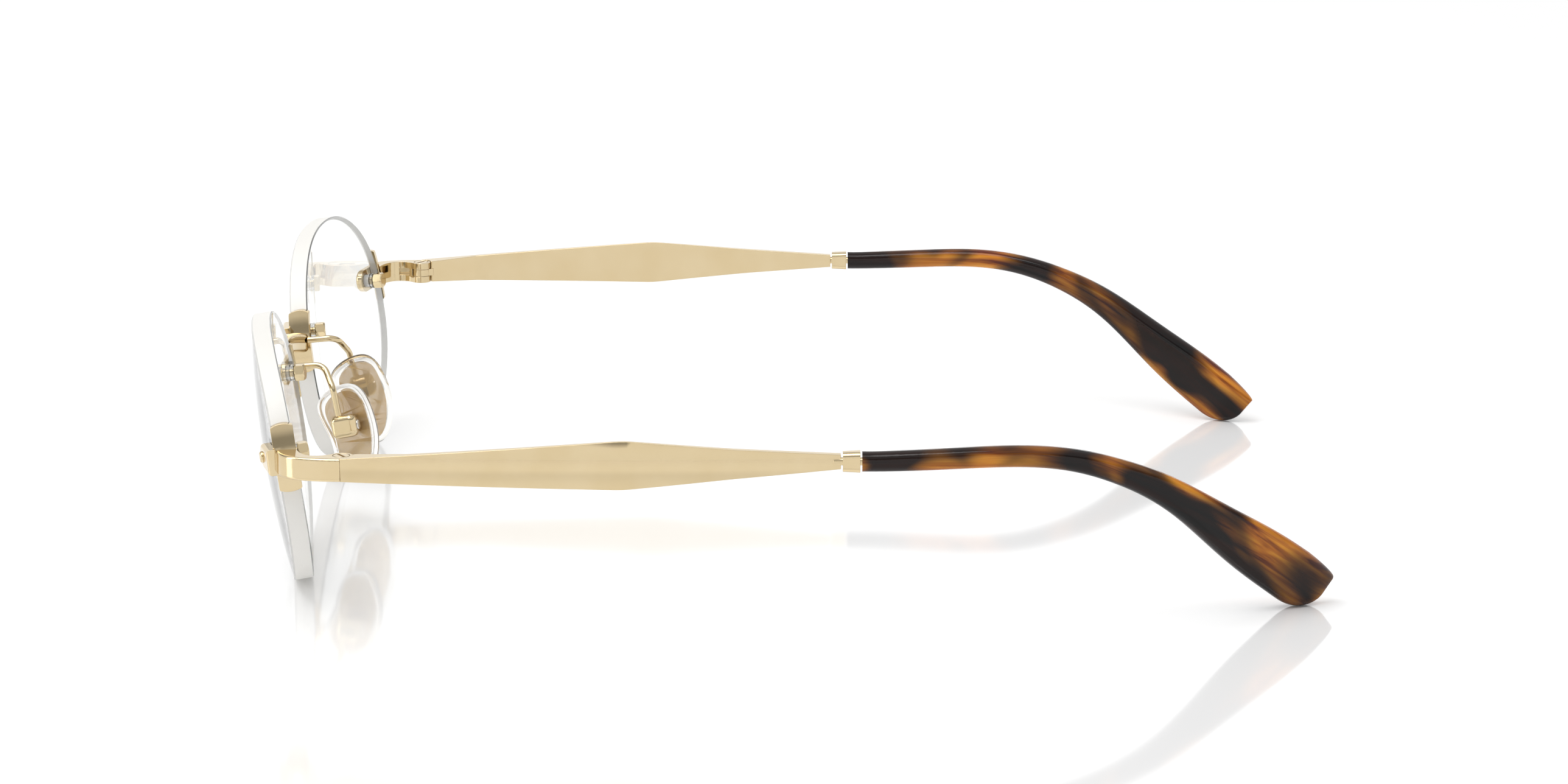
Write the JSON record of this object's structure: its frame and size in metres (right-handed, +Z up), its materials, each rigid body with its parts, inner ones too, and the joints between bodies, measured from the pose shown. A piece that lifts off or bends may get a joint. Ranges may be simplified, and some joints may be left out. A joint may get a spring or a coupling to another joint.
{
  "type": "rimless eyeglasses",
  "caption": "Rimless eyeglasses: clear oval lenses screwed to a bridge and end pieces, folding crowned temples with shell-patterned tips, and rocking clear nose pads on wire arms.",
  "frame": {"origin": "centre of the outline, at the surface the glasses stand on", "axes": "+X to the wearer's left, +Y from the lenses back along the temples, +Z up"},
  "size_m": [0.1358, 0.153, 0.0365],
  "materials": {
    "gold_plate": "polished champagne gold plate over nickel silver",
    "lens_resin": "clear optical resin with a fine-ground edge",
    "clear_nylon": "clear nylon",
    "clear_silicone": "clear silicone",
    "tortoiseshell_acetate": "polished tortoiseshell acetate",
    "nickel_screw": "polished nickel"
  },
  "bodies": {
    "front": {"bridge": "gold_plate", "lens_left": "lens_resin", "endpiece_left": "gold_plate", "hinge_screw_left": "gold_plate", "pad_box_left": "gold_plate", "pad_screw_left": "nickel_screw", "pad_arm_left": "gold_plate", "lens_screw_temporal_left": "gold_plate", "lens_bush_temporal_left": "clear_nylon", "lens_washer_temporal_left": "clear_nylon", "lens_nut_temporal_left": "gold_plate", "lens_screw_nasal_left": "gold_plate", "lens_bush_nasal_left": "clear_nylon", "lens_washer_nasal_left": "clear_nylon", "lens_nut_nasal_left": "gold_plate", "lens_right": "lens_resin", "endpiece_right": "gold_plate", "hinge_screw_right": "gold_plate", "pad_box_right": "gold_plate", "pad_screw_right": "nickel_screw", "pad_arm_right": "gold_plate", "lens_screw_temporal_right": "gold_plate", "lens_bush_temporal_right": "clear_nylon", "lens_washer_temporal_right": "clear_nylon", "lens_nut_temporal_right": "gold_plate", "lens_screw_nasal_right": "gold_plate", "lens_bush_nasal_right": "clear_nylon", "lens_washer_nasal_right": "clear_nylon", "lens_nut_nasal_right": "gold_plate"},
    "temple_left": {"temple_left": "gold_plate", "ferrule_left": "gold_plate", "temple_tip_left": "tortoiseshell_acetate"},
    "temple_right": {"temple_right": "gold_plate", "ferrule_right": "gold_plate", "temple_tip_right": "tortoiseshell_acetate"},
    "pad_left": {"nose_pad_left": "clear_silicone", "pad_plate_left": "gold_plate"},
    "pad_right": {"nose_pad_right": "clear_silicone", "pad_plate_right": "gold_plate"}
  },
  "joints": [
    {"name": "temple_left_fold", "type": "hinge", "parent": "front", "child": "temple_left", "pos_m": [0.06399, -0.05939, 0.02248], "axis": [0, 0, 1], "range_deg": [0, 88]},
    {"name": "temple_right_fold", "type": "hinge", "parent": "front", "child": "temple_right", "pos_m": [-0.06399, -0.05939, 0.02248], "axis": [0, 0, -1], "range_deg": [0, 80]},
    {"name": "pad_left_rock", "type": "hinge", "parent": "front", "child": "pad_left", "pos_m": [0.0128, -0.06419, 0.01538], "axis": [0.1716, 0.9635, 0.2054], "range_deg": [-8, 8]},
    {"name": "pad_right_rock", "type": "hinge", "parent": "front", "child": "pad_right", "pos_m": [-0.0128, -0.06419, 0.01538], "axis": [0.1716, -0.9635, -0.2054], "range_deg": [-8, 8]}
  ]
}
